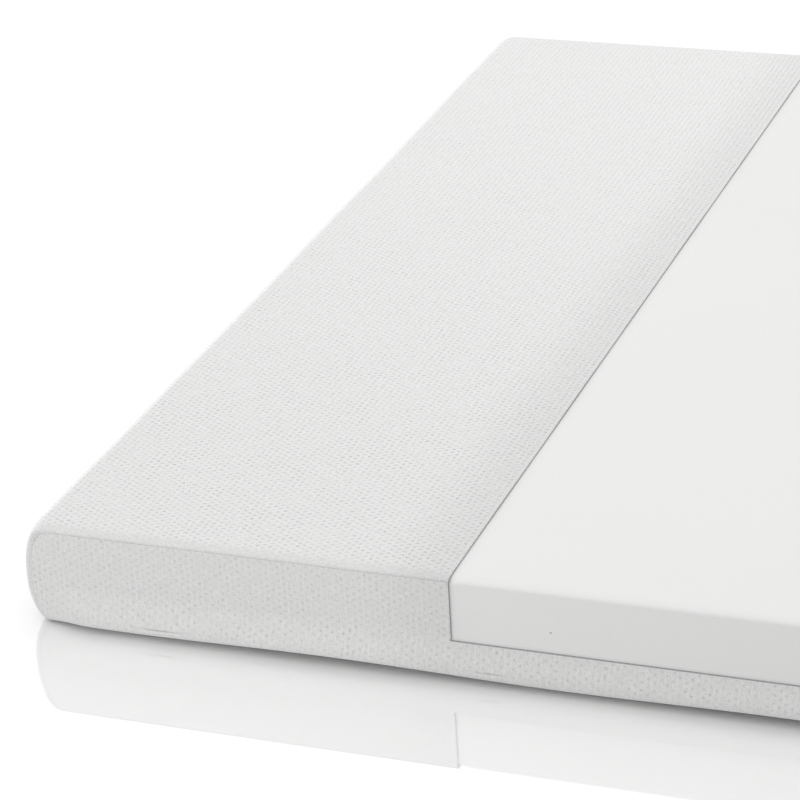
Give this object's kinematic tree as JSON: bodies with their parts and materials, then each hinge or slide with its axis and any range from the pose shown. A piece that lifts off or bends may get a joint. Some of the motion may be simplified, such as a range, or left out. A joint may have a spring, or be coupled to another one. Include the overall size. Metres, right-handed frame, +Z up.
{
  "type": "cold foam mattress",
  "caption": "Cold foam mattress in a fitted white knit cover, with the cover cut away along one side to bare the foam block.",
  "frame": {"origin": "on the floor under the middle of the mattress", "axes": "+Z up, +Y along the long side towards the back end, +X across the mattress towards the bared side; the front end faces -Y"},
  "size_m": [1.3993, 2, 0.1403],
  "materials": {
    "foam": "matte open-cell foam",
    "cover": "matte knitted cloth with small dimples"
  },
  "bodies": {
    "root": {"foam_core": "foam", "cover_sleeve": "cover", "cover_front_panel": "cover", "cover_back_panel": "cover"}
  },
  "joints": []
}
